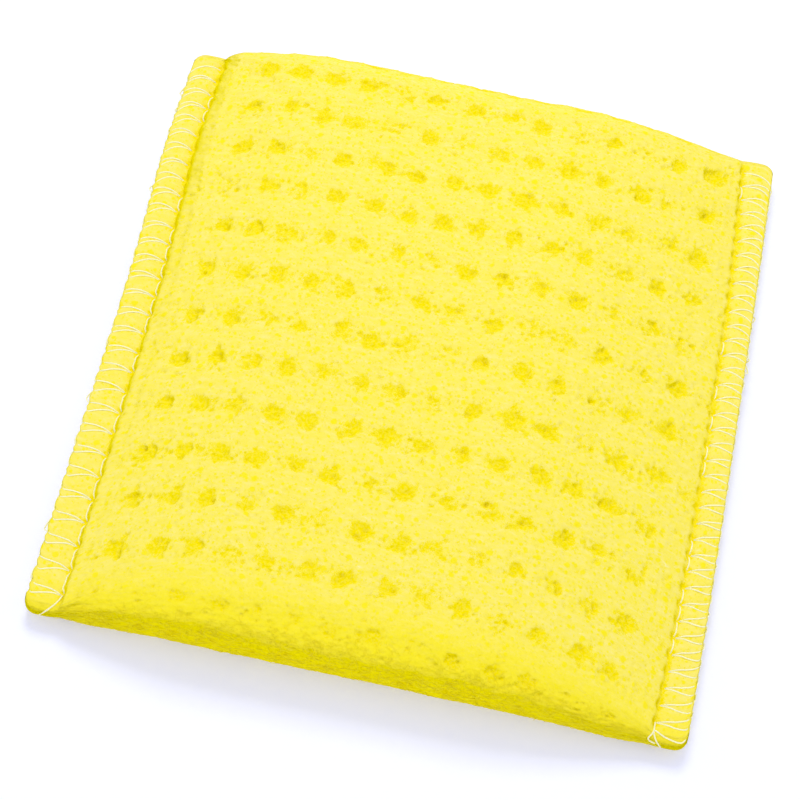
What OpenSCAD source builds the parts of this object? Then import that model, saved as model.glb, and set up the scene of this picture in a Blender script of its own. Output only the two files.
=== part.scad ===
// Cleaning pad: a foam slab inside one sheet of soft nonwoven cloth.
// The sheet is folded round the front and back edges and its two ends lap under the pad.
// An overlock seam of three threads closes the left side, and another the right side.
// +X runs from the left seam to the right one, +Y from the front fold to the back fold.
// +Z is up, and the origin is the middle of the underside.

/* [Pad] */
// Size across the two seams, outside the stitching
pad_w = 120; // [100:1:150]
// Size along the seams, from fold to fold
pad_l = 128; // [100:1:160]
// Height at the crown
pad_h = 16; // [15:0.5:22]
// Distance over which the top rises from the left seam
left_rise = 12; // [8:0.5:15]
// Distance over which the top falls to the right seam
right_fall = 36; // [15:1:40]

/* [Cloth] */
// Thickness of one ply
cloth_t = 1.5; // [1.2:0.1:1.8]
// Length over which the two ends of the sheet lap under the pad
lap = 20; // [10:1:30]
// Gap between the two lapped plies
lap_gap = 0.1; // [0.05:0.05:0.2]

/* [Seams] */
// Distance from the needle line to the outside of the stitching
seam_w = 6; // [5:0.5:8]
// Height of the seam's underside above the surface that the pad lies on
seam_z = 1.6; // [1.2:0.1:2.5]
// Number of stitches in the left seam
left_stitches = 29; // [20:1:40]
// Number of stitches in the right seam
right_stitches = 36; // [20:1:40]
// How much longer than the mean the left seam's front stitches are, as a share of the mean
left_growth = 0.2; // [0:0.05:0.3]
// Diameter of the sewing thread
thread_d = 0.5; // [0.3:0.05:0.6]

/* [Hidden] */

cloth_color = [0.93, 0.86, 0.36];
foam_color = [0.95, 0.90, 0.62];
thread_color = [0.96, 0.94, 0.72];

LEFT = 1;                            // mirror([LEFT, 0, 0]) turns a right seam into a left one
RIGHT = 0;
stitches = [right_stitches, left_stitches];
growth = [0, left_growth];

$fn = 96;
curve_steps = 10;                    // straight pieces in each curve of the cross-section
fold_r = pad_h / 2;                  // outer radius of the front and back folds
fold_y = pad_l / 2 - fold_r;         // distance from the middle to each fold's axis
seam_mid = seam_z + cloth_t;         // where the two plies meet in a seam
seam_top = seam_z + 2 * cloth_t;
needle_x = pad_w / 2 - seam_w;       // distance from the middle to each needle line
edge_x = pad_w / 2 - thread_d;       // distance from the middle to the cloth's cut edge
ply_start = 1.3;                     // distance inside the needle line at which the plies part
under_run = 8;                       // distance over which the underside rises to a seam
core_gap = 0.1;                      // clearance round the foam, which lies on the lower ply
core_edge = 2;                       // blunt margin of foam left out of the thin side wedges
hole_gap = 0.05;                     // clearance round the thread in a needle hole
eps = 1;                             // how far a cutting shape passes the face it cuts

// Half the stitched length, which ends just inside the folds at the seam's underside
seam_end_gap = 1;
seam_half = fold_y + sqrt(pow(fold_r, 2) - pow(fold_r - seam_z, 2)) - seam_end_gap;

// Half an edge of the cross-section: from a seam at x = half inwards over the distance run,
// as a quarter sine from the height z_seam to the height z_far
function quarter(side, half, run, z_seam, z_far) = [
    for (i = [0:curve_steps])
        [side * (half - run * i / curve_steps), z_seam + (z_far - z_seam) * sin(90 * i / curve_steps)]
];

function reversed(points) = [for (i = [len(points) - 1:-1:0]) points[i]];

// Cross-section between x = -half and x = half, clockwise from the left seam over the top
function crown(half, run_left, run_right, run_under, z_upper, z_lower, z_top, z_bottom) = concat(
    quarter(-1, half, run_left, z_upper, z_top),
    reversed(quarter(1, half, run_right, z_upper, z_top)),
    quarter(1, half, run_under, z_lower, z_bottom),
    reversed(quarter(-1, half, run_under, z_lower, z_bottom))
);

// Extrudes a cross-section in X and Z along the whole pad
module along_y(points)
    translate([0, pad_l, 0])
        rotate([90, 0, 0])
            linear_extrude(2 * pad_l)
                polygon(points);

// A slab as wide as the pad with round front and back edges of radius r
module folded_slab(r) {
    for (side = [-1, 1])
        translate([-pad_w / 2, side * fold_y, fold_r])
            rotate([0, 90, 0])
                cylinder(h = pad_w, r = r);
    translate([-pad_w / 2, -fold_y, fold_r - r])
        cube([pad_w, 2 * fold_y, 2 * r]);
}

// Outside of the cloth: the crowned body, and flat flanges out to the cut edges
module envelope()
    intersection() {
        folded_slab(fold_r);
        union() {
            along_y(crown(needle_x, left_rise, right_fall, under_run, seam_top, seam_z, pad_h, 0));
            translate([-edge_x, -pad_l / 2, seam_z])
                cube([2 * edge_x, pad_l, seam_top - seam_z]);
        }
    }

// Space inside the cloth, less a margin of gap everywhere but on the flat underside
module inside(gap)
    intersection() {
        translate([0, 0, -gap])
            folded_slab(fold_r - cloth_t - gap);
        along_y(crown(
            needle_x - ply_start - gap, left_rise - ply_start, right_fall - ply_start,
            under_run - ply_start, seam_mid, seam_mid, pad_h - cloth_t - gap, cloth_t
        ));
    }

// The under ply of the lap, which steps up over the end of the outer ply
module lapped_ply() {
    translate([-pad_w / 2, -lap / 2, cloth_t + lap_gap])
        cube([pad_w, lap + lap_gap + cloth_t, cloth_t]);
    translate([-pad_w / 2, lap / 2 + lap_gap, 0])
        cube([pad_w, cloth_t, 2 * cloth_t]);
}

// Open end of the lap on the underside, as far as the cloth lies flat
module lap_opening()
    translate([under_run - needle_x, lap / 2, -eps])
        cube([2 * (needle_x - under_run), lap_gap, cloth_t + lap_gap + eps]);

// Place along a seam of its needle hole i, where 0 is the front one and halves lie between
function hole_y(side, i) =
    let (share = i / stitches[side])
    seam_half * (2 * (share + growth[side] * share * (1 - share)) - 1);

module needle_holes(side)
    mirror([side, 0, 0])
        for (i = [0:stitches[side]])
            translate([needle_x, hole_y(side, i), seam_z - eps])
                cylinder(h = 2 * cloth_t + 2 * eps, d = thread_d + 2 * hole_gap, $fn = 8);

module foam_core()
    color(foam_color)
        difference() {
            intersection() {
                inside(core_gap);
                translate([core_edge - needle_x, -pad_l / 2, 0])
                    cube([2 * (needle_x - core_edge), pad_l, pad_h]);
            }
            translate([-pad_w / 2, -lap / 2 - core_gap, 0])
                cube([pad_w, lap + lap_gap + cloth_t + 2 * core_gap, 2 * cloth_t + lap_gap + core_gap]);
        }

module cover_sheet()
    color(cloth_color)
        difference() {
            envelope();
            difference() {
                inside(0);
                lapped_ply();
            }
            lap_opening();
            needle_holes(LEFT);
            needle_holes(RIGHT);
        }

// Thread that runs along the needle line on top and drops through the cloth at each hole
module needle_thread(side)
    color(thread_color)
        mirror([side, 0, 0]) {
            translate([needle_x - thread_d / 2, -seam_half - thread_d / 2, seam_top])
                cube([thread_d, 2 * seam_half + thread_d, thread_d]);
            for (i = [0:stitches[side]])
                translate([needle_x, hole_y(side, i), seam_z - thread_d])
                    cylinder(h = 2 * cloth_t + 1.5 * thread_d, d = thread_d, $fn = 8);
        }

// Width along X of a looper thread, which runs askew from the needle line to the cut edge
function askew(side) = thread_d * sqrt(1 + pow((seam_w - thread_d) * stitches[side] / seam_half, 2));

// One edge of a looper thread's zigzag between the needle thread and the outside of the seam
function zigzag(side, shift) = [
    for (i = [0:2 * stitches[side]]) [
        shift + (i % 2 == 0 ? needle_x + thread_d / 2 : pad_w / 2 - askew(side)),
        hole_y(side, i / 2)
    ]
];

// Thread that zigzags over the seam's top and turns down over the cut edge, where a run
// along the edge stands for the knots with the other looper thread
module looper_thread(side) {
    first_y = hole_y(side, 0.5);
    last_y = hole_y(side, stitches[side] - 0.5);
    translate([0, 0, seam_top])
        linear_extrude(thread_d)
            polygon(concat(zigzag(side, 0), reversed(zigzag(side, askew(side)))));
    for (i = [0:stitches[side] - 1])
        translate([edge_x, hole_y(side, i + 0.5) - thread_d / 2, seam_mid])
            cube([thread_d, thread_d, cloth_t + thread_d]);
    translate([edge_x, first_y, seam_mid])
        cube([thread_d, last_y - first_y, thread_d]);
}

module upper_looper_thread(side)
    color(thread_color)
        mirror([side, 0, 0])
            looper_thread(side);

// The same thread turned over, under the seam
module lower_looper_thread(side)
    color(thread_color)
        mirror([side, 0, 0])
            translate([0, 0, 2 * seam_mid])
                mirror([0, 0, 1])
                    looper_thread(side);

foam_core();
cover_sheet();
needle_thread(LEFT);  // left_needle_thread
upper_looper_thread(LEFT);  // left_upper_looper_thread
lower_looper_thread(LEFT);  // left_lower_looper_thread
needle_thread(RIGHT);  // right_needle_thread
upper_looper_thread(RIGHT);  // right_upper_looper_thread
lower_looper_thread(RIGHT);  // right_lower_looper_thread
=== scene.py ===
"""Looks of a cleaning pad: a foam slab folded into one sheet of dimpled nonwoven cloth, closed along
its left and right sides by overlock seams of three threads each.

Lengths are in millimetres until a mesh is made. u is the place across the sheet, from seam to seam,
and s is the place along it: up the back fold, over the top, down the front fold and under the pad to
the lap where its two ends meet.
"""
import math

import bpy
import numpy as np
from mathutils import Euler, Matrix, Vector


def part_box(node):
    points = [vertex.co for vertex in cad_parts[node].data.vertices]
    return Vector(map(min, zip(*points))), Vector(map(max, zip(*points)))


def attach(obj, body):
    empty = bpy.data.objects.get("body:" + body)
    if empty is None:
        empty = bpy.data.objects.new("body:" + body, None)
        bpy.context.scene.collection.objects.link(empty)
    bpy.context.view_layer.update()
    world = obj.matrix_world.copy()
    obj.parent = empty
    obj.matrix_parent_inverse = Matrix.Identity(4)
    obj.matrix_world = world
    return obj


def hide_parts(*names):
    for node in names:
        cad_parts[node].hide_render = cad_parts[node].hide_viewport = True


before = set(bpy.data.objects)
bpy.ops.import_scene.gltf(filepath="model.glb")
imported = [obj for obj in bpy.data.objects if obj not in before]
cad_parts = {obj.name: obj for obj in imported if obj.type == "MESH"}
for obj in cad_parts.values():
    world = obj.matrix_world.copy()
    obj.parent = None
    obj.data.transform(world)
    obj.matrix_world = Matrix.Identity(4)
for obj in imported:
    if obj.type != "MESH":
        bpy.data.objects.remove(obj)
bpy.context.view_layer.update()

MM = 0.001

# Sizes that the frame gives
LEFT, RIGHT = -1, 1
SIDES = {LEFT: "left", RIGHT: "right"}
cover_high = np.array(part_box("cover_sheet")[1]) / MM
needle_low, needle_high = (np.array(corner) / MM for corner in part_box("right_needle_thread"))
THREAD_SPACE = needle_high[0] - needle_low[0]      # width that the frame leaves for a thread
NEEDLE_X = (needle_high[0] + needle_low[0]) / 2    # from the middle to each needle line
STITCHED_Y = needle_high[1] - THREAD_SPACE / 2     # half the stitched length
SEAM_TOP = needle_high[2] - THREAD_SPACE
SEAM_BOTTOM = needle_low[2] + THREAD_SPACE
EDGE_X = cover_high[0]                             # from the middle to each cut edge
SEAM_WIDTH = EDGE_X - NEEDLE_X
HALF_LENGTH = cover_high[1]
HEIGHT = cover_high[2]

# The pad's shape
PLY = 1.45                   # thickness of the cloth
LEFT_STEP = 4.0              # width of the quick rise beside the left seam
LEFT_RISE = 28.0             # width of the slow rise that goes on from it
QUICK_SHARE = 0.3            # share of the height that the quick rise gives in the pad's middle
QUICK_GAIN = 0.15            # what is added to that share at the back and taken off at the front
RIGHT_FALL = 38.0            # width of the gentle fall towards the right seam
CROWN = 1.6                  # how much higher the middle stands than the folds
UNDER_RUN = 9.0              # width over which the underside rises to a seam
SEAM_INSET = 0.6             # how far the seams' ends stop short of the folds
SEAM_LENGTH = HALF_LENGTH - SEAM_INSET     # half the length of each seam, with its folded ends
CORNER_R = 2.0               # rounding of the seams' corners
BELLY = 0.6                  # how far the folds' middles stand out past the frame before they swell
BACK_SKEW = 1.2              # about twice how far the back fold is out on the left and in on the right
LAP = 20.0                   # overlap of the sheet's two ends under the pad
LAP_GAP = 0.05               # gap between the plies of the lap
STEP_RUN = 3.0               # length over which the under ply steps down to the underside
SQUEEZE_X = 46.0             # from the middle to where the lap's plies start to be pressed together
SQUEEZE = 0.5                # how much thinner the pressed plies are in the seams
FLOOR_GAP = 0.02             # least height of the cloth above the floor
FOLD_R = HEIGHT / 2
FOLD_Y = HALF_LENGTH - FOLD_R              # from the middle to where each fold starts

# How far the seams bow outwards. The right one has the first number in its middle, and both
# together at its ends. The left one has the first number, and both together at its bulge.
NEEDLE_BOW = {LEFT: (-1.0, 1.9), RIGHT: (1.0, -2.0)}
EDGE_BOW = {LEFT: (-0.15, 1.3), RIGHT: (0.2, -0.4)}
BULGE_Y, BULGE_REACH = 42.0, 24.0          # the bulge of the left seam, towards the back

# Places along the sheet, from the outer end of the lap
S_BACK = FOLD_Y - LAP / 2                  # where the back fold starts
S_TOP = S_BACK + math.pi * FOLD_R          # where the top starts
S_FRONT = S_TOP + 2 * FOLD_Y               # where the front fold starts
S_UNDER = S_FRONT + math.pi * FOLD_R       # where the front half of the underside starts
S_END = S_UNDER + FOLD_Y + LAP / 2         # the sheet's outer end
S_MID = (S_TOP + S_FRONT) / 2

# The cloth's pattern
COLUMN_PITCH, ROW_PITCH = 7.0, 9.3
COLUMN_0 = -2.8                            # a column of dimples near the middle
ROW_0 = S_MID + 2.9                        # a row of dimples near the middle of the top
TURN = 0.027                               # how far the pattern is turned on the sheet, in radians
MARGIN = {LEFT: 5.0, RIGHT: 3.5}           # width beside each needle line that has no dimples
BAND_HEIGHT, BAND_SHARPNESS = 0.16, 1.5    # the soft ridges between the rows
LINE_HEIGHT, LINE_REACH = 0.12, 0.25       # the thin ridges between the columns
PORES_PER_MM2 = 0.6                        # scattered pores tried on each square millimetre

# The dimples: from a random number below the first limit a pit, below the second a crater, and
# above that a faint bowl. Each kind of pit has a range of radii and a range of depths.
PIT_LIMIT, CRATER_LIMIT = 0.45, 0.8
PIT_RIM = (1.7, 2.2), (0.06, 0.12)
PIT_FLOOR = (1.1, 1.5), (0.3, 0.6)
CRATER = (1.5, 2.0), (0.15, 0.28)
CRESCENT = (0.45, 0.65), (0.18, 0.36)
BOWL = (1.6, 2.2), (0.06, 0.14)
CLUSTER_PORE = (0.24, 0.5), (0.12, 0.3)
LONE_PORE = (0.2, 0.42), (0.06, 0.2)
RIM = {"stretch": 1.1, "edge": 4, "uneven": 0.08}      # the outline of pits' rims, craters and bowls

# The seams
STITCHES = {LEFT: 29, RIGHT: 36}
GROWTH = {LEFT: 0.2, RIGHT: 0.0}           # how much longer than the mean the front stitches are
SPREAD = {LEFT: 0.21, RIGHT: 0.3}          # stitches from a leg's end at the edge to its hole's level
LEAN = {LEFT: -0.09, RIGHT: 0.0}           # stitches by which both legs lean towards the back
LEG_BOW = {LEFT: 0.14, RIGHT: 0.04}        # stitches by which the middle of a leg bows
SCALLOP = {LEFT: 0.3, RIGHT: 0.12}         # how far the knots pull the cut edges in
KNOT_REACH = 0.6                           # length along the edge that each knot pulls in
THREAD_R = 0.14                            # radius of a thread
LOOSE = {LEFT: 0.12, RIGHT: 0.04}          # share of the knots that stick out at the edge
SHOWN = 0.45                               # share of the needle thread's stitches that lie on the cloth
ON_CLOTH, SUNK = 0.04, -0.35               # height of a needle thread's shown and sunk stitches
TAIL_LIFT = 0.08                           # height of the loose thread ends over the cloth

# Thread ends over the front folds: share of the seam's width from the needle line, and stitches
# from the first hole
NEEDLE_TAIL = {LEFT: ((0.55, -3.6), (0.3, -1.6), (0.06, -0.3), (0.0, -0.02)),
               RIGHT: ((0.12, -3.7), (-0.04, -3.4), (-0.12, -2.7), (-0.02, -0.6), (0.0, -0.02))}
LOOPER_TAIL = {LEFT: (), RIGHT: ((0.3, -4.6), (0.12, -2.5), (0.0, -0.5), (0.4, -1.2), (0.85, -2.1))}

RIM_RATIO = 5       # steps of the sheet's fine outer face to one of its coarse inner face
PITCH = 0.28       # spacing of the sheet's finest points

# The loose fibres on the front fold
FIBRES = 3500
FIBRE_STEPS = 9                            # points of each fibre
FIBRE_R = (0.025, 0.055)
FIBRE_LENGTH = (1.0, 3.5)
FIBRE_FLOOR_GAP = 0.06                     # least height of a fibre above the floor


def smooth(x):
    """0 below 0 and 1 above 1, with a smooth rise between."""
    x = np.clip(x, 0, 1)
    return x * x * (3 - 2 * x)


def quarter_sine(x):
    return np.sin(math.pi / 2 * np.clip(x, 0, 1))


# ---------------- the pad's plain shape

def top_height(u, along):
    """Height of the pad's top, less its crown. along is -1 at the front fold and 1 at the back one."""
    inwards = u + NEEDLE_X
    quick = QUICK_SHARE + QUICK_GAIN * along
    left = quick * quarter_sine(inwards / LEFT_STEP) + (1 - quick) * quarter_sine(inwards / LEFT_RISE)
    right = quarter_sine((NEEDLE_X - u) / RIGHT_FALL)
    return SEAM_TOP + (HEIGHT - CROWN - SEAM_TOP) * left * right


def crown_height(u, along):
    """How much higher the top stands than at the folds."""
    inwards = np.minimum((u + NEEDLE_X) / LEFT_RISE, (NEEDLE_X - u) / RIGHT_FALL)
    return CROWN * quarter_sine(inwards) * (1 - along ** 2)


def under_height(u):
    """Height of the pad's underside."""
    return SEAM_BOTTOM * (1 - quarter_sine((NEEDLE_X - np.abs(u)) / UNDER_RUN))


def middle(u):
    """1 in the middle of the folds and 0 at the seams."""
    return 1 - np.clip(np.abs(u) / NEEDLE_X, 0, 1) ** 4


def half_length(u):
    """Distance from the middle to the front and back folds."""
    steepest = 0.98         # stops the rounding just short of the corner's upright end
    corner = np.clip((np.abs(u) - EDGE_X + CORNER_R) / CORNER_R, 0, steepest)
    rounding = CORNER_R * (1 - np.sqrt(1 - corner ** 2))
    return SEAM_LENGTH + (HALF_LENGTH + BELLY - SEAM_LENGTH) * middle(u) - rounding


def fold_axis(u, along):
    """Distance from the middle to the axis of a fold."""
    return half_length(u) - (top_height(u, along) - under_height(u)) / 2


def back_shift(u, along):
    """How far the back fold is pushed out. The push fades out from the fold to the pad's middle."""
    return -BACK_SKEW * u / NEEDLE_X * middle(u) * np.clip(along, 0, 1)


def bow_at(amounts, u, ends, bulge):
    """Outward bow of the needle lines or of the edges."""
    right = amounts[RIGHT][0] + amounts[RIGHT][1] * ends
    left = amounts[LEFT][0] + amounts[LEFT][1] * bulge
    return np.where(u > 0, right, left)


def side_shift(u, y):
    """How far a point moves to the right with its seam's bow, which fades out to the pad's middle."""
    ends = np.clip(np.abs(y) / HALF_LENGTH, 0, 1) ** 3
    bulge = np.exp(-((y - BULGE_Y) / BULGE_REACH) ** 2)
    needle = bow_at(NEEDLE_BOW, u, ends, bulge)
    edge = bow_at(EDGE_BOW, u, ends, bulge)
    in_seam = np.clip((np.abs(u) - NEEDLE_X) / SEAM_WIDTH, 0, 1)
    inside = np.clip(np.abs(u) / NEEDLE_X, 0, 1) ** 2
    return np.sign(u) * (needle * inside + (edge - needle) * in_seam)


def pad_surface(u, s):
    """Points of the pad's outer surface for a column of u and a row of s, as a (u, s, 3) grid."""
    u, s = np.meshgrid(u, np.mod(s, S_END), indexing="ij")
    back = s < S_MID
    turn = np.where(back, (s - S_BACK) / (S_TOP - S_BACK), (S_UNDER - s) / (S_UNDER - S_FRONT))
    angle = math.pi * (np.clip(turn, 0, 1) - 0.5)
    flat = np.where(back, np.where(s < S_BACK, s + LAP / 2, S_MID - s),
                    np.where(s > S_UNDER, s - S_END + LAP / 2, S_MID - s))
    flat = np.clip(flat / FOLD_Y, -1, 1)
    low, high = under_height(u), top_height(u, flat)
    radius = (high - low) / 2
    y = fold_axis(u, flat) * flat + np.where(back, 1, -1) * radius * np.cos(angle) * (np.abs(flat) >= 1)
    y += back_shift(u, flat)
    z = (high + low) / 2 + radius * np.sin(angle) + crown_height(u, flat) * (angle > 0)
    return np.stack([u + side_shift(u, y), y, z], axis=-1)


def s_on_top(y):
    """Place along the sheet of a point on the top of a seam."""
    return S_MID - y / fold_axis(NEEDLE_X, 0) * FOLD_Y


def s_under(y):
    """Place along the sheet of a point on the underside of a seam."""
    flat = y / fold_axis(NEEDLE_X, 0) * FOLD_Y
    return np.where(flat >= LAP / 2, flat - LAP / 2, S_END + flat - LAP / 2)


def steps(start, end, pitch):
    """Evenly spaced values from start up to, but not at, end."""
    count = max(1, round((end - start) / pitch))
    return start + (end - start) * np.arange(count) / count


def grid_normals(points):
    """Unit normals of a grid of points."""
    normals = np.cross(np.gradient(points, axis=1), np.gradient(points, axis=0))
    return normals / np.maximum(np.linalg.norm(normals, axis=-1, keepdims=True), 1e-9)


# ---------------- meshes

def link(obj):
    bpy.context.scene.collection.objects.link(obj)


def new_mesh(name, points, faces, material):
    """A mesh object from points in millimetres and arrays of quads and triangles."""
    me = bpy.data.meshes.new(name)
    me.vertices.add(len(points))
    me.vertices.foreach_set("co", (np.asarray(points, np.float32) * MM).ravel())
    sizes = np.concatenate([np.full(len(f), f.shape[1]) for f in faces])
    me.loops.add(int(sizes.sum()))
    me.loops.foreach_set("vertex_index", np.concatenate([f.ravel() for f in faces]).astype(np.int32))
    me.polygons.add(len(sizes))
    me.polygons.foreach_set("loop_start", (np.cumsum(sizes) - sizes).astype(np.int32))
    me.update(calc_edges=True)
    me.validate()
    me.shade_smooth()
    me.materials.append(material)
    obj = bpy.data.objects.new(name, me)
    link(obj)
    return obj


def grid_quads(columns, rows, first=0):
    """Quads of a grid of points numbered column by column."""
    at = first + np.arange(columns * rows).reshape(columns, rows)
    return np.stack([at[:-1, :-1], at[:-1, 1:], at[1:, 1:], at[1:, :-1]], -1).reshape(-1, 4)


# ---------------- the cloth's relief

class Relief:
    """Heights over the sheet, in millimetres outwards, on a grid of columns u and rows s."""

    def __init__(self, u, s, seed):
        self.u, self.s = u, s
        self.height = np.zeros((len(u), len(s)), np.float32)
        self.random = np.random.default_rng(seed)

    def patch(self, at_u, at_s, reach):
        """Slices of the grid round a place, and each point's offsets from it."""
        i0, i1 = np.searchsorted(self.u, [at_u - reach, at_u + reach])
        j0, j1 = np.searchsorted(self.s, [at_s - reach, at_s + reach])
        du = self.u[i0:i1, None] - at_u
        ds = self.s[None, j0:j1] - at_s
        return (slice(i0, i1), slice(j0, j1)), du, ds

    def pit(self, at_u, at_s, radius, depth, stretch=1.0, edge=3.0, uneven=0.0):
        """A round pit with a flat floor and a soft rim. A larger edge makes its wall steeper, and
        uneven is how far its outline strays from round."""
        part, du, ds = self.patch(at_u, at_s, 2.2 * radius)
        distance = np.sqrt((du / stretch) ** 2 + ds ** 2) / radius
        if uneven:
            turn = np.arctan2(ds, du)
            for lobes in (2, 3, 5):
                phase = self.random.uniform(0, 2 * math.pi)
                distance *= 1 + uneven * np.sin(lobes * turn + phase)
        self.height[part] -= depth * np.exp(-distance ** edge)

    def noise(self, pitch_u, pitch_s, amount):
        """Smooth random waves with a pitch of their own along each way."""
        rows = int((self.s[-1] - self.s[0]) / pitch_s) + 4
        columns = int((self.u[-1] - self.u[0]) / pitch_u) + 4
        knots = self.random.normal(0, amount, (columns, rows))
        at_u = (self.u - self.u[0]) / pitch_u + 1
        at_s = (self.s - self.s[0]) / pitch_s + 1
        self.height += resample(knots, at_u, at_s)


def cubic_weights(at, count):
    """Catmull-Rom weights, as a matrix, that read a row of count knots at fractional places."""
    base = np.floor(at).astype(int)
    t = at - base
    weights = np.stack([
        ((2 - t) * t - 1) * t / 2, ((3 * t - 5) * t * t + 2) / 2,
        ((4 - 3 * t) * t + 1) * t / 2, (t - 1) * t * t / 2,
    ])
    matrix = np.zeros((len(at), count))
    for k in range(4):
        np.add.at(matrix, (np.arange(len(at)), np.clip(base + k - 1, 0, count - 1)), weights[k])
    return matrix


def resample(knots, at_i, at_j):
    """Reads a grid of knots smoothly at fractional places along both ways."""
    across = cubic_weights(at_i, knots.shape[0])
    along = cubic_weights(at_j, knots.shape[1])
    return np.einsum("ai,ij...,bj->ab...", across, knots, along, optimize=True)


def dimple_places(s_low, s_high):
    """Middle of each dimple between two places along the sheet."""
    first, last = math.ceil((s_low - ROW_0) / ROW_PITCH), math.floor((s_high - ROW_0) / ROW_PITCH)
    most = math.ceil(NEEDLE_X / COLUMN_PITCH) + 1
    for row in range(first, last + 1):
        for column in range(-most, most + 1):
            u, s = COLUMN_0 + column * COLUMN_PITCH, ROW_0 + row * ROW_PITCH
            yield u - TURN * (s - S_MID), s + TURN * u


def pattern_place(u, s):
    """Row and column of a place in the pattern, which are whole numbers at the dimples."""
    return (s - ROW_0 - TURN * u) / ROW_PITCH, (u - COLUMN_0 + TURN * (s - S_MID)) / COLUMN_PITCH


def draw(random, kind):
    """A random radius and depth for a kind of pit."""
    return [random.uniform(low, high) for low, high in kind]


def add_pit(relief, at_u, at_s):
    """A deep floor with a shallow rim round it."""
    relief.pit(at_u, at_s, *draw(relief.random, PIT_RIM), **RIM)
    radius, depth = draw(relief.random, PIT_FLOOR)
    stretch = relief.random.uniform(1.0, 1.25)
    relief.pit(at_u, at_s, radius, depth, stretch, uneven=0.1)


def add_crater(relief, at_u, at_s):
    """A shallow crater with a deeper crescent of three pits, mostly towards the back right."""
    random = relief.random
    radius, depth = draw(random, CRATER)
    relief.pit(at_u, at_s, radius, depth, **RIM)
    out = 0.7 * radius
    turn = random.normal(0.8, 0.7)
    for step in (-0.55, 0, 0.55):
        relief.pit(at_u + out * math.cos(turn + step), at_s - out * math.sin(turn + step),
                   *draw(random, CRESCENT))


def add_bowl(relief, at_u, at_s):
    """A faint bowl."""
    relief.pit(at_u, at_s, *draw(relief.random, BOWL), **RIM)


def add_cluster(relief, at_u, at_s):
    """Pores scattered round a dimple."""
    random = relief.random
    for _ in range(random.integers(9, 18)):
        off_u, off_s = random.normal(0, 1.7), random.normal(0, 1.4)
        relief.pit(at_u + off_u, at_s + off_s, *draw(random, CLUSTER_PORE), uneven=0.15)


def add_dimples(relief):
    """Each place of the pattern gets a pit, a crater or a bowl, a little off its place, with its pores."""
    random = relief.random
    for at_u, at_s in dimple_places(relief.s[0], relief.s[-1]):
        if not MARGIN[LEFT] - NEEDLE_X < at_u < NEEDLE_X - MARGIN[RIGHT]:
            continue
        at_u += random.normal(0, 0.35)
        at_s += random.normal(0, 0.3)
        kind = random.random()
        add = add_pit if kind < PIT_LIMIT else add_crater if kind < CRATER_LIMIT else add_bowl
        add(relief, at_u, at_s)
        add_cluster(relief, at_u, at_s)


def add_pores(relief):
    """Scattered pores, fewer in the smooth bands between the rows of dimples."""
    random = relief.random
    area = (relief.u[-1] - relief.u[0]) * (relief.s[-1] - relief.s[0])
    for _ in range(int(area * PORES_PER_MM2)):
        at_u = random.uniform(relief.u[0], relief.u[-1])
        at_s = random.uniform(relief.s[0], relief.s[-1])
        row, _ = pattern_place(at_u, at_s)
        from_band = abs(row % 1 - 0.5)     # 0 in a band, where 3 in 10 stay, and 0.5 on a row
        if random.random() < 0.3 + 1.4 * from_band:
            relief.pit(at_u, at_s, *draw(random, LONE_PORE))


def add_bands(relief):
    """Soft ridges between the rows, and thin ridges between the columns."""
    row, column = pattern_place(relief.u[:, None], relief.s[None, :])
    band = 0.5 - 0.5 * np.cos(2 * math.pi * row)
    line = np.abs(column % 1 - 0.5) * COLUMN_PITCH
    ridge = np.exp(-(line / LINE_REACH) ** 2)
    relief.height += BAND_HEIGHT * band ** BAND_SHARPNESS + LINE_HEIGHT * ridge * (1 - band)


def hole_y(side, i):
    """Place along a seam of its needle hole i, where 0 is the front one and halves lie between."""
    share = i / STITCHES[side]
    return STITCHED_Y * (2 * (share + GROWTH[side] * share * (1 - share)) - 1)


def leg_place(side, way, share):
    """Stitches from a hole to a looper's leg: way is 1 for the leg towards the back and -1 for the
    other, and share runs from 0 on the needle line to 1 at the cut edge."""
    spread = way * SPREAD[side] + LEAN[side]
    return spread * share + LEG_BOW[side] * 4 * share * (1 - share)


def add_leg_dents(relief, s_of, side, i):
    """The dents under the two legs of a looper thread that meet at the needle hole i."""
    radius, depth = 0.42, 0.06
    for way in (1, -1):
        for share in np.linspace(0.15, 1, 14):
            u = side * (NEEDLE_X + share * SEAM_WIDTH)
            y = hole_y(side, i + leg_place(side, way, share))
            relief.pit(u, float(s_of(y)), radius, depth)


def add_seams(relief, s_of):
    """The needle line's groove, the seam's padded roll, the pinched holes, and the threads' dents."""
    groove_reach, groove_depth = 0.75, 0.12
    roll_height, roll_roundness = 0.18, 0.7
    hole_radius, hole_depth = 0.75, 0.4
    for side in SIDES:
        line = np.abs(relief.u - side * NEEDLE_X)
        relief.height -= (groove_depth * np.exp(-(line / groove_reach) ** 2))[:, None]
        share = np.clip((side * relief.u - NEEDLE_X) / SEAM_WIDTH, 0, 1)
        relief.height += (roll_height * np.sin(math.pi * share) ** roll_roundness)[:, None]
        for i in range(STITCHES[side] + 1):
            relief.pit(side * NEEDLE_X, float(s_of(hole_y(side, i))), hole_radius, hole_depth)
            add_leg_dents(relief, s_of, side, i)


# ---------------- the swollen shape

def closed_grid(points):
    """An object from a grid of points that is closed along its rows, in the points' own unit."""
    columns, rows = points.shape[:2]
    near = np.arange(columns * rows).reshape(columns, rows)
    far = np.roll(near, -1, axis=1)
    quads = np.stack([near[:-1], far[:-1], far[1:], near[1:]], -1).reshape(-1, 4)
    me = bpy.data.meshes.new("swelling")
    me.from_pydata(points.reshape(-1, 3).tolist(), [], quads.tolist())
    obj = bpy.data.objects.new("swelling", me)
    link(obj)
    return obj


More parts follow.
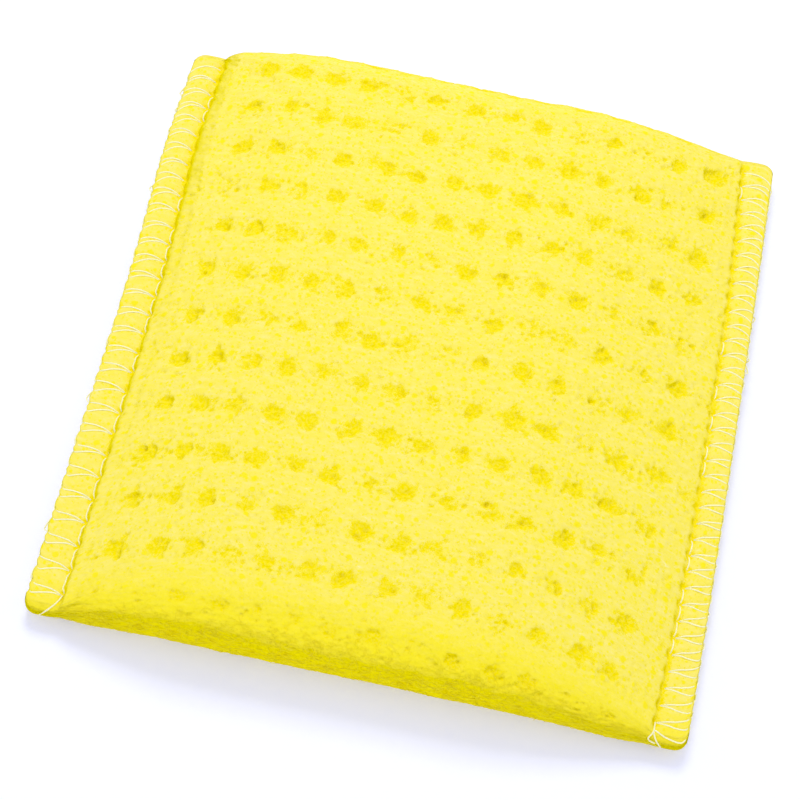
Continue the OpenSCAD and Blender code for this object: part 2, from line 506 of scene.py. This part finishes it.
def add_pressure(obj, held_points):
    """A cloth simulation that blows the object up and holds some of its points."""
    held = obj.vertex_groups.new(name="held")
    held.add(held_points.tolist(), 1.0, "REPLACE")
    cloth = obj.modifiers.new("cloth", "CLOTH").settings
    cloth.quality = 8
    cloth.mass = 0.3
    cloth.tension_stiffness = 12
    cloth.compression_stiffness = 12
    cloth.shear_stiffness = 4
    cloth.bending_stiffness = 0.4
    cloth.vertex_group_mass = held.name
    cloth.use_pressure = True
    cloth.uniform_pressure_force = 3
    cloth.effector_weights.gravity = 0


def simulate_swelling(points):
    """How far each point of a closed coarse grid moves when the foam swells the cloth.

    The cloth is held along both seams and simulated ten times as large, where the solver is steady.
    """
    large = 10 * MM
    held_width = 0.5        # how far inside the needle lines the cloth is held
    frames = 20
    obj = closed_grid(points * large)
    add_pressure(obj, np.flatnonzero(np.abs(points[..., 0].ravel()) >= NEEDLE_X - held_width))
    for moment in range(1, frames + 1):
        bpy.context.scene.frame_set(moment)
    swollen = obj.evaluated_get(bpy.context.evaluated_depsgraph_get()).to_mesh()
    moved = np.zeros(points.size)
    swollen.vertices.foreach_get("co", moved)
    bpy.context.scene.frame_set(1)
    me = obj.data
    bpy.data.objects.remove(obj)
    bpy.data.meshes.remove(me)
    return moved.reshape(points.shape) / large - points


class Swelling:
    """The simulated movement of the pad's surface, kept small and read at any place on it."""
    COLUMNS, ROWS = 60, 140
    CAP = 0.7          # the furthest that a point moves
    WRAP = 3           # rows repeated at both ends, since the surface is closed along s

    def __init__(self):
        self.u = np.linspace(-EDGE_X, EDGE_X, self.COLUMNS)
        self.s = np.arange(self.ROWS) / self.ROWS * S_END
        plain = pad_surface(self.u, self.s)
        moved = simulate_swelling(plain)
        length = np.linalg.norm(moved, axis=-1, keepdims=True)
        moved *= self.CAP * np.tanh(length / self.CAP) / np.maximum(length, 1e-9)
        moved[..., 2] = np.maximum(moved[..., 2], -plain[..., 2])
        self.moved = np.concatenate([moved[:, -self.WRAP:], moved, moved[:, :self.WRAP]], axis=1)

    def at(self, u, s):
        """Movement at each column of u and row of s."""
        columns = (u + EDGE_X) / (self.u[1] - self.u[0])
        rows = np.mod(s, S_END) / self.s[1] + self.WRAP
        return resample(self.moved, columns, rows)


# ---------------- the sheet

def sheet_places(pitch):
    """Columns and rows of the sheet's grid, closer together where it shows most."""
    u = np.linspace(-EDGE_X, EDGE_X, round(2 * EDGE_X / pitch / RIM_RATIO) * RIM_RATIO + 1)
    s = np.concatenate([
        steps(-LAP, 0, 4 * pitch), steps(0, S_BACK, 2 * pitch), steps(S_BACK, S_UNDER, pitch),
        steps(S_UNDER, S_END, 2 * pitch), [S_END],
    ])
    spare = (len(s) - 1) % RIM_RATIO        # rows dropped so that the coarse inner face fits
    return u, np.delete(s, np.arange(1, 1 + spare))


def seam_squeeze(u):
    """0 on the open cloth and 1 in the seams, where the lap's plies are pressed."""
    return smooth((np.abs(u) - SQUEEZE_X) / (NEEDLE_X - SQUEEZE_X))


def ply_thickness(u, s):
    """Thickness of the cloth, which is pressed where the lap makes three plies in a seam."""
    s = np.mod(s, S_END)
    past_lap = np.minimum(s, np.maximum(S_END - LAP - s, 0))
    on_top = np.abs(S_MID - s) < LAP / 2
    lap = np.maximum(smooth(1 - past_lap / STEP_RUN), on_top)
    return PLY - SQUEEZE * seam_squeeze(u)[:, None] * lap[None, :]


def cover_relief(u, s):
    """Heights of the cloth's face, weaker in the seams and a little weaker on the front fold."""
    deepest, highest = -1.2, 0.6
    relief = Relief(u, s, seed=7)
    add_bands(relief)
    relief.noise(5.0, 4.0, 0.05)
    relief.noise(2.2, 0.9, 0.04)
    relief.noise(0.6, 0.6, 0.025)
    add_dimples(relief)
    add_pores(relief)
    in_seam = smooth((np.abs(u) - NEEDLE_X + 1.5) / 1.5)
    folded = smooth((s - S_FRONT + 4) / 8) * smooth((S_UNDER - s) / 4)
    relief.height *= (1 - 0.6 * in_seam)[:, None] * (1 - 0.2 * folded)[None, :]
    add_seams(relief, s_on_top)
    add_seams(relief, s_under)
    return np.clip(relief.height, deepest, highest)


def fan_strip(coarse, fine):
    """Triangles between a coarse row of points and a fine one with RIM_RATIO steps to each of its steps."""
    triangles = []
    for k in range(len(coarse) - 1):
        part = fine[k * RIM_RATIO:(k + 1) * RIM_RATIO + 1]
        triangles += [(coarse[k], a, b) for a, b in zip(part[:-1], part[1:])]
        triangles.append((coarse[k], part[-1], coarse[k + 1]))
    return triangles


def scalloped(points, u, s):
    """Pulls each cut edge in at its knots, so that it bulges between them."""
    for side in SIDES:
        outward = smooth((side * u - NEEDLE_X) / SEAM_WIDTH)[:, None]
        for s_of in (s_on_top, s_under):
            knots = [float(s_of(hole_y(side, i + leg_place(side, way, 1))))
                     for i in range(STITCHES[side]) for way in (1, -1)]
            nearest = np.abs(np.mod(s, S_END)[:, None] - np.array(knots)[None, :]).min(axis=1)
            dent = np.exp(-(nearest / KNOT_REACH) ** 2)
            points[..., 0] -= side * SCALLOP[side] * outward * dent[None, :]


def stretch(shape, s):
    """1 where the sheet has its full length, and less where the folds gather it into the seams."""
    return np.minimum(np.linalg.norm(np.gradient(shape, s, axis=1), axis=-1), 1)


def sheet_shape(swelling, u, s):
    """The sheet's outer face before its relief, with the lap's under ply lifted off the outer one."""
    shape = pad_surface(u, s) + swelling.at(u, s)
    full = stretch(shape, s)
    scalloped(shape, u, s)
    normals = grid_normals(shape)
    under_ply = (1 - smooth(s / STEP_RUN)) * (s < STEP_RUN)
    lift = (PLY - SQUEEZE * seam_squeeze(u) + LAP_GAP)[:, None] * under_ply[None, :]
    return shape - normals * lift[..., None], normals, full


def sheet_faces(outer, inner):
    """Faces of the outer face, the inner one and the four rims between them, numbered in that order."""
    columns, rows = outer.shape[:2]
    wide, long = inner.shape[:2]
    out_at = np.arange(columns * rows).reshape(columns, rows)
    in_at = out_at.size + np.arange(wide * long).reshape(wide, long)
    rims = (fan_strip(in_at[0], out_at[0]) + fan_strip(in_at[::-1, 0], out_at[::-1, 0])
            + fan_strip(in_at[-1, ::-1], out_at[-1, ::-1]) + fan_strip(in_at[:, -1], out_at[:, -1]))
    return [grid_quads(columns, rows)[:, ::-1], grid_quads(wide, long, out_at.size), np.array(rims)]


def both_faces(outer, inner):
    """The points, or values, of the outer face and then those of the inner one."""
    return np.concatenate([outer.reshape(-1, outer.shape[-1]), inner.reshape(-1, inner.shape[-1])])


def make_cover(swelling, material):
    """The whole sheet as one closed mesh: a fine outer face, a coarse inner face and four rims."""
    u, s = sheet_places(PITCH)
    coarse = (slice(None, None, RIM_RATIO), slice(None, None, RIM_RATIO))
    shape, normals, full = sheet_shape(swelling, u, s)
    relief = cover_relief(u, s) * full
    outer = shape + normals * relief[..., None]
    outer[..., 2] = np.maximum(outer[..., 2], FLOOR_GAP)
    inner = (shape - normals * ply_thickness(u, s)[..., None])[coarse]
    cover = new_mesh("cover", both_faces(outer, inner), sheet_faces(outer, inner), material)
    place = np.stack(np.meshgrid(u, s, indexing="ij"), -1)
    add_places(cover.data, both_faces(place, place[coarse]))
    depth = np.clip(-relief, 0, 1)[..., None]
    add_depth(cover.data, both_faces(depth, np.zeros(inner.shape[:2] + (1,))))
    return cover, Skin(u, s, outer, normals)


def add_depth(me, depth):
    """The relief's depth at each point in millimetres, which paints shade into the cloth's pits."""
    attribute = me.attributes.new("depth", "FLOAT", "POINT")
    attribute.data.foreach_set("value", depth.ravel().astype(np.float32))


def add_places(me, place):
    """A UV map that holds each corner's place on the flat sheet, in tenths of a metre."""
    corners = np.zeros(len(me.loops), np.int32)
    me.loops.foreach_get("vertex_index", corners)
    me.uv_layers.new(name="flat").data.foreach_set("uv", (place[corners] / 100).astype(np.float32).ravel())


class Skin:
    """The sheet's outer face, read at any place on it."""

    def __init__(self, u, s, points, normals):
        self.u, self.s, self.points, self.normals = u, s, points, normals

    def read(self, grid, u, s):
        """Values of a grid between its points."""
        i = np.interp(u, self.u, np.arange(len(self.u)))
        j = np.interp(s, self.s, np.arange(len(self.s)))
        i0 = np.minimum(i.astype(int), len(self.u) - 2)
        j0 = np.minimum(j.astype(int), len(self.s) - 2)
        fi, fj = (i - i0)[..., None], (j - j0)[..., None]
        near = grid[i0, j0] * (1 - fj) + grid[i0, j0 + 1] * fj
        far = grid[i0 + 1, j0] * (1 - fj) + grid[i0 + 1, j0 + 1] * fj
        return near * (1 - fi) + far * fi

    def at(self, u, s, lift=0.0):
        """Points that far above the cloth."""
        u, s, lift = np.broadcast_arrays(np.asarray(u, float), s, lift)
        return self.read(self.points, u, s) + self.read(self.normals, u, s) * lift[..., None]


# ---------------- threads and fibres

def unit(vectors):
    return vectors / np.maximum(np.linalg.norm(vectors, axis=-1, keepdims=True), 1e-9)


def cross_directions(paths):
    """Two directions across each path at each of its points, carried along it without turning."""
    along = unit(np.gradient(paths, axis=1))
    across = np.empty_like(paths)
    turned = unit(np.cross(along[:, 0], [0.3, 0.2, 1.0]))
    for k in range(paths.shape[1]):
        turned = unit(turned - (turned * along[:, k]).sum(-1, keepdims=True) * along[:, k])
        across[:, k] = turned
    return across, np.cross(along, across)


def tube_faces(count, length, sides):
    """Quads round each tube, and a cap on both of its ends."""
    at = np.arange(count * length * sides).reshape(count, length, sides)
    turn = np.roll(at, -1, axis=2)
    quads = np.stack([at[:, :-1], turn[:, :-1], turn[:, 1:], at[:, 1:]], -1).reshape(-1, 4)
    return [quads, np.concatenate([at[:, 0, ::-1], at[:, -1]])]


def tubes(paths, radius, sides, lobe=0.0, twist=1.0):
    """Points and faces of tubes along paths (tube, step, 3). A lobe above 0 makes a twisted yarn of two
    plies, which turns once over the length twist. radius holds a value for each step of each tube."""
    count, length = paths.shape[:2]
    across, other = cross_directions(paths)
    travelled = np.cumsum(np.linalg.norm(np.diff(paths, axis=1, prepend=paths[:, :1]), axis=-1), axis=1)
    angle = 2 * math.pi * np.arange(sides) / sides
    bulge = 1 + lobe * np.cos(2 * (angle - 2 * math.pi * travelled[..., None] / twist))
    reach = (radius[..., None] * bulge)[..., None]
    ring = np.cos(angle)[:, None] * across[:, :, None] + np.sin(angle)[:, None] * other[:, :, None]
    points = paths[:, :, None] + reach * ring
    return points.reshape(-1, 3), tube_faces(count, length, sides)


def curve_through(knots, pitch):
    """A smooth path through the knots, with a point about every pitch millimetres."""
    knots = np.asarray(knots)
    lengths = np.linalg.norm(np.diff(knots, axis=0), axis=1)
    counts = [max(2, round(length / pitch)) for length in lengths]
    spans = [k + np.arange(count) / count for k, count in enumerate(counts)]
    at = np.concatenate(spans + [[len(knots) - 1.0]])
    return cubic_weights(at, len(knots)) @ knots


def seam_point(skin, side, top, share, i, lift):
    """A point over a seam: share is 0 on the needle line and 1 at the cut edge, i counts stitches."""
    u = side * (NEEDLE_X + share * SEAM_WIDTH)
    s_of = s_on_top if top else s_under
    return skin.at(u, float(s_of(hole_y(side, i))), lift)


def edge_point(skin, side, i, height, out=0.0):
    """A point just outside the cut edge. height is 1 at the seam's top and 0 at its underside."""
    point = (height * seam_point(skin, side, True, 1, i, 0)
             + (1 - height) * seam_point(skin, side, False, 1, i, 0))
    return point + [side * (THREAD_R + out), 0, 0]


def leg_knots(skin, side, top, i, way, end_sway, sink):
    """One leg of a looper thread, from the needle hole i out to the cut edge. end_sway is how many
    stitches its outer end is moved by, and sink is how much lower that end lies."""
    shares = (0.06, 0.3, 0.6, 0.88)
    lifts = (-0.1, 0.05, 0.06, 0.0)
    return [seam_point(skin, side, top, share, i + leg_place(side, way, share) + end_sway * share,
                       lift - sink * share) for share, lift in zip(shares, lifts)]


def tail_knots(skin, side, places):
    """A loose thread end over the front fold."""
    return [seam_point(skin, side, True, share, i, TAIL_LIFT) for share, i in places]


def looper_knots(skin, side, top, random):
    """From each needle hole out to the edge, along it, and back to the next hole. The heights at the
    edge run from 0 at the seam's underside to 1 at its top."""
    over = 0.85 if top else 0.15
    knots = [edge_point(skin, side, leg_place(side, -1, 1), over)]
    if top:
        knots = tail_knots(skin, side, LOOPER_TAIL[side]) + knots
    knots += leg_knots(skin, side, top, 0, -1, 0, 0)[::-1]
    for i in range(STITCHES[side]):
        sway = random.normal(0, 0.07, 3)
        sink = random.uniform(-0.05, 0.1)
        along = random.uniform(0.5, 0.75) if top else random.uniform(0.25, 0.45)
        out = 0.6 if random.random() < LOOSE[side] else random.uniform(0, 0.15)
        knots += leg_knots(skin, side, top, i, 1, sway[0], sink)
        knots.append(edge_point(skin, side, i + leg_place(side, 1, 1) + sway[0], over))
        knots.append(edge_point(skin, side, i + 0.5 + LEAN[side] + sway[1], along, out))
        knots.append(edge_point(skin, side, i + 1 + leg_place(side, -1, 1) + sway[2], over))
        knots += leg_knots(skin, side, top, i + 1, -1, sway[2], sink)[::-1]
    return knots


def needle_knots(skin, side, random):
    """Along the needle line on top, and down through the cloth and back at each hole."""
    knots = tail_knots(skin, side, NEEDLE_TAIL[side])
    in_hole = 0.03          # stitches from a hole's middle to the thread on each side of it
    under = (0.08, 0.2)     # the thread's share of the seam's width and height over it underneath
    for i in range(STITCHES[side] + 1):
        if i:
            knots.append(seam_point(skin, side, True, 0, i - 2 * in_hole, SUNK))
        knots.append(seam_point(skin, side, False, under[0], i - in_hole, under[1]))
        knots.append(seam_point(skin, side, False, under[0], i + in_hole, under[1]))
        if i < STITCHES[side]:
            knots.append(seam_point(skin, side, True, 0, i + 2 * in_hole, SUNK))
            lift = ON_CLOTH if random.random() < SHOWN else SUNK
            for at in (0.25, 0.5, 0.75):
                knots.append(seam_point(skin, side, True, 0, i + at, lift + random.uniform(-0.06, 0.06)))
    return knots


def make_thread(name, node, knots, material):
    """A twisted yarn along the knots, in place of one node."""
    path = curve_through(knots, 0.22)[None]
    points, faces = tubes(path, np.full(path.shape[:2], THREAD_R), 8, lobe=0.1, twist=1.1)
    thread = new_mesh(name, points, faces, material)
    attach(thread, "root")
    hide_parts(node)


def make_threads(skin, material):
    """The three threads of each seam."""
    for side, name in SIDES.items():
        random = np.random.default_rng(20 + side)
        threads = {
            "needle": needle_knots(skin, side, random),
            "upper_looper": looper_knots(skin, side, True, random),
            "lower_looper": looper_knots(skin, side, False, random),
        }
        for kind, knots in threads.items():
            make_thread(f"{name}_{kind}_yarn", f"{name}_{kind}_thread", knots, material)


def fibre_paths(skin, random, t):
    """Paths of the fibres at the shares t of their lengths, and which of all the fibres they are."""
    start_u = random.uniform(-NEEDLE_X, NEEDLE_X, FIBRES)
    start_s = random.uniform(S_FRONT + 5, S_UNDER - 2, FIBRES)
    length = random.uniform(*FIBRE_LENGTH, FIBRES)
    heading = np.where(random.random(FIBRES) < 0.45, random.normal(0, 0.35, FIBRES),
                       random.uniform(0, 2 * math.pi, FIBRES))
    bend = random.normal(0, 1.6, FIBRES)
    angle = heading[:, None] + bend[:, None] * (t - 0.5)
    step = length[:, None] / (len(t) - 1)
    u = start_u[:, None] + np.cumsum(np.cos(angle) * step, axis=1)
    s = start_s[:, None] + np.cumsum(np.sin(angle) * step, axis=1)
    arch = random.gamma(1.2, 0.05, FIBRES)[:, None] * np.sin(math.pi * t)
    kept = np.abs(u).max(axis=1) < NEEDLE_X + 2
    paths = skin.at(u[kept], s[kept], arch[kept])
    paths[..., 2] = np.maximum(paths[..., 2], FIBRE_FLOOR_GAP)
    return paths, kept


def make_fibres(skin, material):
    """Fine loose fibres along the front fold, lying over the cloth and standing a little off it."""
    random = np.random.default_rng(3)
    t = np.linspace(0, 1, FIBRE_STEPS)
    paths, kept = fibre_paths(skin, random, t)
    taper = 0.35 + 0.65 * np.sin(math.pi * t) ** 0.5
    radius = random.uniform(*FIBRE_R, FIBRES)[kept][:, None] * taper
    points, faces = tubes(paths, radius, 3)
    fibres = new_mesh("cover_fibres", points, faces, material)
    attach(fibres, "root")


# ---------------- the foam

def make_foam(swelling, material):
    """The foam slab, which fills the cover as far as the blunt edges beside the seams."""
    edge = 2.5              # width of the thin margin inside each needle line that has no foam
    gap = 0.35              # between the foam and the cloth
    columns, rows = 110, 300
    u = np.linspace(edge - NEEDLE_X, NEEDLE_X - edge, columns)
    s = np.arange(rows) / rows * S_END
    shape = pad_surface(u, s) + swelling.at(u, s)
    cells = Relief(u, s, seed=5)
    cells.noise(1.2, 1.2, 0.06)
    normals = grid_normals(shape)
    past_lap = np.maximum(S_END - LAP - s, 0)
    lap = smooth(1 - np.minimum(s, past_lap) / STEP_RUN) * (PLY + 2 * LAP_GAP)
    shape -= normals * (PLY + gap + lap[None, :, None] - np.clip(cells.height, -0.2, 0.2)[..., None])
    at = np.arange(columns * rows).reshape(columns, rows)
    turn = np.roll(at, -1, axis=1)
    quads = np.stack([at[:-1], at[1:], turn[1:], turn[:-1]], -1).reshape(-1, 4)
    ends = np.stack([at[0], at[-1, ::-1]])
    foam = new_mesh("foam", shape.reshape(-1, 3), [quads, ends], material)
    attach(foam, "root")
    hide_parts("foam_core")


# ---------------- materials

class Shading:
    """A principled material, with short ways to add and join its nodes. A value's name is that of
    its socket, with _ for each space, or is _ and the socket's number."""

    def __init__(self, name, **values):
        self.material = bpy.data.materials.new(name)
        self.material.use_nodes = True
        self.tree = self.material.node_tree
        self.shader = self.tree.nodes["Principled BSDF"]
        self.set(self.shader, values)

    def set(self, node, values):
        for name, value in values.items():
            socket = node.inputs[int(name[1:]) if name[0] == "_" else name.replace("_", " ")]
            if isinstance(value, bpy.types.NodeSocket):
                self.tree.links.new(value, socket)
            else:
                socket.default_value = value

    def node(self, kind, settings=None, **values):
        node = self.tree.nodes.new(kind)
        for name, value in (settings or {}).items():
            setattr(node, name, value)
        self.set(node, values)
        return node.outputs

    def place(self, across, along):
        """The place on the flat sheet, scaled so that 1 is that many millimetres each way."""
        flat = self.node("ShaderNodeUVMap", {"uv_map": "flat"})["UV"]
        return self.node("ShaderNodeMapping", Vector=flat, Scale=(100 / across, 100 / along, 1))["Vector"]

    def ramp(self, value, low, high, to_low=0.0, to_high=1.0):
        """value from low to high taken smoothly to to_low and to_high."""
        settings = {"interpolation_type": "SMOOTHSTEP"}
        return self.node("ShaderNodeMapRange", settings, Value=value, From_Min=low, From_Max=high,
                         To_Min=to_low, To_Max=to_high)["Result"]

    def math(self, operation, a, b):
        return self.node("ShaderNodeMath", {"operation": operation}, _0=a, _1=b)["Value"]

    def product(self, a, b):
        return self.math("MULTIPLY", a, b)

    def largest(self, first, *others):
        for other in others:
            first = self.math("MAXIMUM", first, other)
        return first

    def noise(self, **values):
        """A noise texture, on the object's own place unless values holds a Vector."""
        return self.node("ShaderNodeTexNoise", **values)

    def mix(self, share, a, b):
        return self.node("ShaderNodeMix", {"data_type": "RGBA"}, _0=share, _6=a, _7=b)[2]

    def bump(self, height, distance):
        """height bumps the surface by up to distance millimetres."""
        normal = self.node("ShaderNodeBump", Height=height, Distance=distance * MM)["Normal"]
        self.set(self.shader, {"Normal": normal})


# Colours of the cloth's face, from its palest random streaks down to the painted shade in its pits
BRIGHT = (1.0, 0.92, 0.45, 1)
PALE = (0.98, 0.86, 0.23, 1)
PLAIN = (0.975, 0.845, 0.118, 1)
# DEEP is a random tone and also the painted shade on the folds, in pits and in pores
DEEP = (0.985, 0.845, 0.001, 1)
# painted shade deep in the pits
PIT = (0.95, 0.79, 0.001, 1)

FIBRE_TONES = (0.98, 0.88, 0.05, 1), (0.97, 0.86, 0.002, 1)
THREAD_TONES = (1.0, 0.96, 0.5, 1), (1.0, 0.98, 0.7, 1)
FOAM_WALL, FOAM_CELL_SHADE = (0.95, 0.88, 0.52, 1), (0.72, 0.60, 0.24, 1)


def pore_layer(cloth, pitch, reach, share):
    """Small dots of uneven shape, one to each cell of that pitch in millimetres. reach is a dot's
    radius in pitches, and share is the part of the cells that have one."""
    wander = cloth.noise(Vector=cloth.place(pitch / 2, pitch / 2), Scale=1.0)["Color"]
    wander = cloth.node("ShaderNodeVectorMath", {"operation": "SCALE"}, _0=wander, Scale=0.35)["Vector"]
    place = cloth.node("ShaderNodeVectorMath", {"operation": "ADD"}, _0=cloth.place(pitch, pitch),
                       _1=wander)["Vector"]
    cell = cloth.node("ShaderNodeTexVoronoi", {"voronoi_dimensions": "2D"}, Vector=place, Scale=1.0)
    chosen = cloth.node("ShaderNodeSeparateColor", Color=cell["Color"])
    size = cloth.ramp(chosen["Green"], 0.0, 1.0, 0.5, 1.2)
    distance = cloth.math("DIVIDE", cell["Distance"], size)
    dot = cloth.ramp(distance, 1.2 * reach, 0.6 * reach)
    return cloth.product(dot, cloth.math("LESS_THAN", chosen["Red"], share))


def front_fold_shade(cloth, fuzz):
    """Painted shade on the front fold, which faces away from the key light: how far its colour goes to the
    deeper yellow, from 0 to 0.8, with a ragged start on the top.
    """
    along = cloth.node("ShaderNodeSeparateXYZ", Vector=cloth.place(1, 1))["Y"]
    ragged = cloth.math("ADD", along, cloth.ramp(fuzz, 0.35, 0.65, -3.0, 3.0))
    start = cloth.ramp(ragged, S_FRONT - 8, S_FRONT + 5, 0.0, 0.8)
    return cloth.product(start, cloth.ramp(along, S_UNDER + 4, S_UNDER - 4))


def cloth_material():
    """Nonwoven viscose with pores, and painted shade: a deeper yellow in pits and pores, on steep sides and
    on the front fold.
    """
    cloth = Shading("cloth", Roughness=1.0, Specular_IOR_Level=0.0)
    depth = cloth.node("ShaderNodeAttribute", {"attribute_name": "depth"})["Fac"]
    # pores: small dots painted a deeper yellow as the shade in them, and sunk by the bump
    large = pore_layer(cloth, 2.7, 0.19, 0.5)
    small = pore_layer(cloth, 1.5, 0.2, 0.65)
    fine = pore_layer(cloth, 0.8, 0.25, 0.55)
    pore = cloth.largest(large, small, cloth.product(fine, 0.75))
    streak = cloth.noise(Vector=cloth.place(2.0, 0.8), Scale=1.0, Detail=4.0, Roughness=0.6,
                         Distortion=0.8)["Fac"]
    fuzz = cloth.noise(Vector=cloth.place(0.35, 0.35), Scale=1.0, Detail=3.0, Roughness=0.7,
                       Distortion=1.5)["Fac"]
    grain = cloth.noise(Vector=cloth.place(0.5, 0.5), Scale=1.0, Detail=1.0)["Fac"]
    # painted shade in the pits: the deeper the relief, the deeper the yellow, with a ragged edge and random
    # patches
    ragged_depth = cloth.math("ADD", depth, cloth.ramp(fuzz, 0.65, 0.35, -0.09, 0.09))
    pit = cloth.product(cloth.ramp(ragged_depth, 0.06, 0.22), cloth.ramp(grain, 0.42, 0.6, 1.0, 0.7))
    facing = cloth.node("ShaderNodeSeparateXYZ", Vector=cloth.node("ShaderNodeNewGeometry")["Normal"])["Z"]
    level = cloth.math("ABSOLUTE", facing, 0.0)      # 1 on the top and the underside
    # painted shade: the colour goes to the deeper yellow where the surface turns from level to upright, as
    # on the folds; the same mask strengthens the bump there
    side_shade_and_bump = cloth.ramp(level, 0.86, 0.52)
    plain = cloth.mix(cloth.ramp(streak, 0.38, 0.68), PLAIN, PALE)
    plain = cloth.mix(cloth.ramp(streak, 0.66, 0.8), plain, BRIGHT)
    plain = cloth.mix(cloth.ramp(fuzz, 0.52, 0.36, 0.0, 0.4), plain, DEEP)
    # painted shade: the deeper colour goes into pits, pores, the steep sides and the front fold
    painted_shade_share = cloth.largest(pit, side_shade_and_bump, front_fold_shade(cloth, fuzz), cloth.product(pore, 0.85))
    # the colour of the painted shade, deeper still in the pits
    shade_colour = cloth.mix(pit, DEEP, PIT)
    cloth.set(cloth.shader, {"Base Color": cloth.mix(painted_shade_share, plain, shade_colour)})
    height = cloth.math("SUBTRACT", cloth.math("ADD", cloth.product(streak, 0.6), fuzz),
                        cloth.product(pore, 0.5))
    cloth.bump(cloth.product(height, cloth.math("ADD", 0.4, side_shade_and_bump)), 0.18)
    return cloth.material


def fibre_material():
    """Single fibres of the cloth, in its deeper yellows."""
    fibre = Shading("fibre", Roughness=0.9, Specular_IOR_Level=0.05)
    tone = fibre.noise(Scale=400.0, Detail=1.0)["Fac"]
    fibre.set(fibre.shader, {"Base Color": fibre.mix(tone, *FIBRE_TONES)})
    return fibre.material


def thread_material():
    """Polyester: pale, a little shiny and a little translucent."""
    thread = Shading("thread", Roughness=0.5, Sheen_Weight=0.3, Subsurface_Weight=0.4,
                     Subsurface_Radius=(1, 1, 1), Subsurface_Scale=0.3 * MM)
    tone = thread.noise(Scale=900.0, Detail=2.0)["Fac"]
    thread.set(thread.shader, {"Base Color": thread.mix(tone, *THREAD_TONES)})
    thread.bump(tone, 0.015)
    return thread.material


def foam_material():
    """Open-cell foam, with painted shade in the middle of each cell."""
    foam = Shading("foam", Roughness=0.9)
    cell = foam.node("ShaderNodeTexVoronoi", {"feature": "DISTANCE_TO_EDGE"}, Scale=1600.0)["Distance"]
    wall = foam.ramp(cell, 0.05, 0.25)
    foam.set(foam.shader, {"Base Color": foam.mix(wall, FOAM_WALL, FOAM_CELL_SHADE)})
    foam.bump(foam.math("SUBTRACT", 1.0, wall), 0.2)
    return foam.material


# ---------------- the scene round the pad

def make_camera():
    """Looks down on the pad from the front, a little from its right, and rolled."""
    azimuth, elevation, roll = (math.radians(angle) for angle in (6.91, 60.68, 5.58))
    target, distance = Vector((-3.3, -4.7, 0)) * MM, 406.9 * MM
    data = bpy.data.cameras.new("camera")
    data.sensor_width, data.lens = 36, 96.66
    data.clip_start, data.clip_end = 0.01, 10
    camera = bpy.data.objects.new("camera", data)
    link(camera)
    turn = Euler((math.pi / 2 - elevation, 0, azimuth)).to_matrix() @ Euler((0, 0, roll)).to_matrix()
    camera.rotation_euler = turn.to_euler()
    camera.location = target + turn @ Vector((0, 0, distance))
    bpy.context.scene.camera = camera


def area_light(name, place, power, size):
    """A square light that faces the origin."""
    data = bpy.data.lights.new(name, "AREA")
    data.energy, data.size = power, size
    light = bpy.data.objects.new(name, data)
    light.location = place
    light.rotation_euler = Vector(place).to_track_quat("Z", "Y").to_euler()
    link(light)


def make_floor():
    """A plain pale floor, which glows a little so that its shadow stays light."""
    reach = 3.0             # from its middle to each side, in metres
    paint = Shading("floor", Base_Color=(0.86, 0.89, 0.96, 1), Roughness=1.0, Specular_IOR_Level=0.0,
                    Emission_Color=(0.4, 0.4, 1, 1), Emission_Strength=0.28)
    me = bpy.data.meshes.new("floor")
    me.from_pydata([(x * reach, y * reach, 0) for x, y in ((-1, -1), (1, -1), (1, 1), (-1, 1))],
                   [], [(0, 1, 2, 3)])
    me.materials.append(paint.material)
    floor = bpy.data.objects.new("floor", me)
    link(floor)


def make_lights():
    """Soft light all round, a soft key from the back and a low fill in front."""
    scene = bpy.context.scene
    scene.world = bpy.data.worlds.new("studio")
    scene.world.use_nodes = True
    background = scene.world.node_tree.nodes["Background"]
    background.inputs["Color"].default_value = (1, 1, 1, 1)
    background.inputs["Strength"].default_value = 0.765
    area_light("key", place=(-0.08, 0.45, 0.7), power=2.3, size=0.3)
    area_light("fill", place=(0.05, -0.8, 0.22), power=1.0, size=0.4)
    scene.view_settings.view_transform = "Standard"


# ---------------- the build

make_camera()
make_floor()
make_lights()
swelling = Swelling()
cover, skin = make_cover(swelling, cloth_material())
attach(cover, "root")
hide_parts("cover_sheet")
make_foam(swelling, foam_material())
make_fibres(skin, fibre_material())
make_threads(skin, thread_material())
